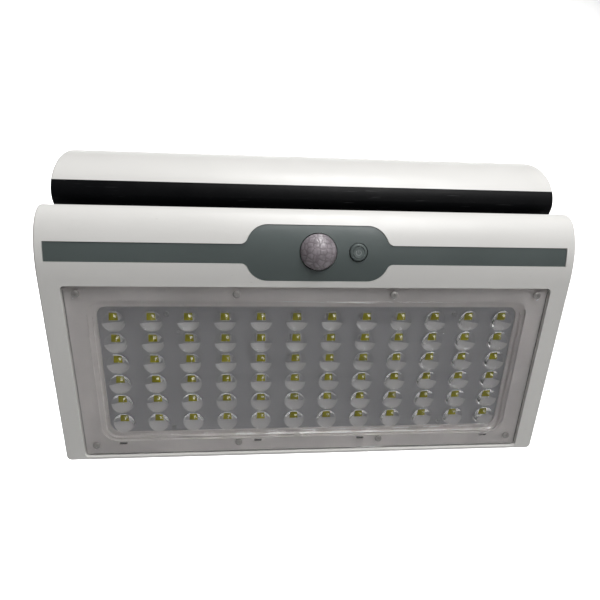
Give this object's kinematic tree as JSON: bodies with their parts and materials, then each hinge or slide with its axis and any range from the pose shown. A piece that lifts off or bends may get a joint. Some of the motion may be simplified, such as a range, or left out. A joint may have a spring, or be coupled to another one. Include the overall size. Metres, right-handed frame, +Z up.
{
  "type": "solar flood light",
  "caption": "Wall-mounted solar flood light: bull-nosed lamp leaf with lens array, motion sensor and button, hinged with a solar leaf on a bent steel bracket.",
  "frame": {"origin": "centre of the wall bracket's four screw holes, on the face that meets the wall", "axes": "+Y into the wall, +Z up, +X to the right of a person facing the wall"},
  "size_m": [0.3, 0.2056, 0.2234],
  "materials": {
    "white_shell": "satin moulded ABS",
    "black_shell": "fine moulded texture",
    "seal_rubber": "matte silicone rubber",
    "clear_silicone": "milky silicone",
    "vent_plastic": "moulded",
    "screw_steel": "zinc plated",
    "lens_screw_steel": "stainless",
    "trim_grey": "fine satin",
    "button_grey": "satin",
    "clear_cover": "clear polycarbonate",
    "pir_white": "translucent polyethylene",
    "can_metal": "nickel plated can",
    "dark_window": "infrared filter",
    "switch_black": "moulded",
    "board_white": "white solder mask on an aluminium core",
    "board_green": "solder mask",
    "connector_white": "nylon",
    "led_yellow": "phosphor",
    "panel_glass": "toughened, fine texture",
    "solar_cell": "monocrystalline silicon",
    "backsheet_white": "laminate",
    "battery_wrap": "shrink wrapped cell",
    "holder_black": "moulded",
    "nickel": "nickel strip",
    "ferrite": "ferrite",
    "capacitor_can": "sleeved can",
    "bracket_paint": "black powder coat",
    "zinc_steel": "zinc plated",
    "fibre_washer": "fibre"
  },
  "bodies": {
    "bracket": {"wall_bracket": "bracket_paint", "hinge_bolts": "zinc_steel", "hinge_nuts": "zinc_steel", "hinge_washers": "zinc_steel", "friction_washers": "fibre_washer"},
    "lamp_leaf": {"lamp_front_shell": "white_shell", "lamp_rear_shell": "black_shell", "lens_gasket": "clear_silicone", "lamp_shell_seal": "seal_rubber", "lamp_cable_gland": "seal_rubber", "lamp_vent_plug": "vent_plastic", "lamp_shell_screws": "screw_steel", "led_board_screws": "screw_steel", "control_screws": "screw_steel", "lens_screws": "lens_screw_steel", "trim_panel": "trim_grey", "lens_cover": "clear_cover", "pir_lens": "pir_white", "pir_sensor": "can_metal", "pir_window": "dark_window", "tact_switch": "switch_black", "control_chips": "switch_black", "led_board": "board_white", "control_board": "board_green", "control_connector": "connector_white", "led_packages": "led_yellow"},
    "solar_leaf": {"solar_top_shell": "white_shell", "solar_rear_shell": "black_shell", "solar_shell_seal": "seal_rubber", "solar_cable_gland": "seal_rubber", "panel_adhesive": "seal_rubber", "solar_vent_plug": "vent_plastic", "solar_shell_screws": "screw_steel", "battery_holder_screws": "screw_steel", "charge_board_screws": "screw_steel", "charge_chips": "switch_black", "charge_board": "board_green", "charge_connectors": "connector_white", "panel_glass": "panel_glass", "panel_cells": "solar_cell", "panel_backsheet": "backsheet_white", "battery_cells": "battery_wrap", "battery_holder": "holder_black", "battery_contacts": "nickel", "charge_inductor": "ferrite", "charge_capacitors": "capacitor_can"},
    "power_key": {"power_button": "button_grey", "switch_plunger": "switch_black"}
  },
  "joints": [
    {"name": "lamp_tilt", "type": "hinge", "parent": "bracket", "child": "lamp_leaf", "pos_m": [0, -0.15144, 0.0785], "axis": [1, 0, 0], "range_deg": [-5, 30]},
    {"name": "solar_tilt", "type": "hinge", "parent": "bracket", "child": "solar_leaf", "pos_m": [0, -0.15144, 0.0785], "axis": [1, 0, 0], "range_deg": [-30, 5]},
    {"name": "power_press", "type": "slide", "parent": "lamp_leaf", "child": "power_key", "axis": [0, 0.9921, 0.1251], "range_m": [0, 0.0004], "stiffness_N_per_m": 2500, "springref_m": -0.0004}
  ]
}
